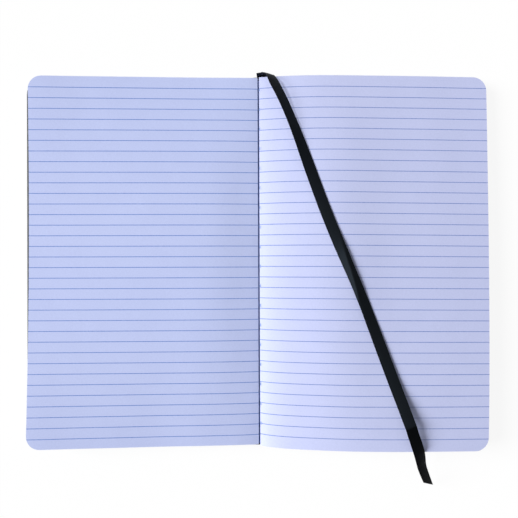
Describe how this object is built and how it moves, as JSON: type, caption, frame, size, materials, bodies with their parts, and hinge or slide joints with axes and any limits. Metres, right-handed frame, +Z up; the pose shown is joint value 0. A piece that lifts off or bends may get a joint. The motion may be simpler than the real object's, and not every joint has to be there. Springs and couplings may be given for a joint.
{
  "type": "open ruled notebook",
  "caption": "Ruled notebook with a black soft cover, lying open at the middle, with a black ribbon marker across the right-hand page.",
  "frame": {"origin": "on the table under the middle of the open cover, measured without the ribbon", "axes": "+X to the right-hand fore-edge, +Y to the head of the pages, +Z up from the table"},
  "size_m": [0.267, 0.2382, 0.0205],
  "materials": {
    "paper": "matte",
    "cover_black": "satin",
    "endpaper_black": "matte",
    "ribbon_black": "satin"
  },
  "bodies": {
    "block": {"page_block": "paper", "spine": "cover_black", "ribbon_marker": "ribbon_black"},
    "front": {"front_cover": "cover_black", "front_endpaper": "endpaper_black"},
    "back": {"back_cover": "cover_black", "back_endpaper": "endpaper_black"}
  },
  "joints": [
    {"name": "front_cover_hinge", "type": "hinge", "parent": "block", "child": "front", "pos_m": [-0.0041, 0, 0], "axis": [0, -1, 0], "range_deg": [0, 90]},
    {"name": "back_cover_hinge", "type": "hinge", "parent": "block", "child": "back", "pos_m": [0.0041, 0, 0], "axis": [0, 1, 0], "range_deg": [0, 90]}
  ]
}
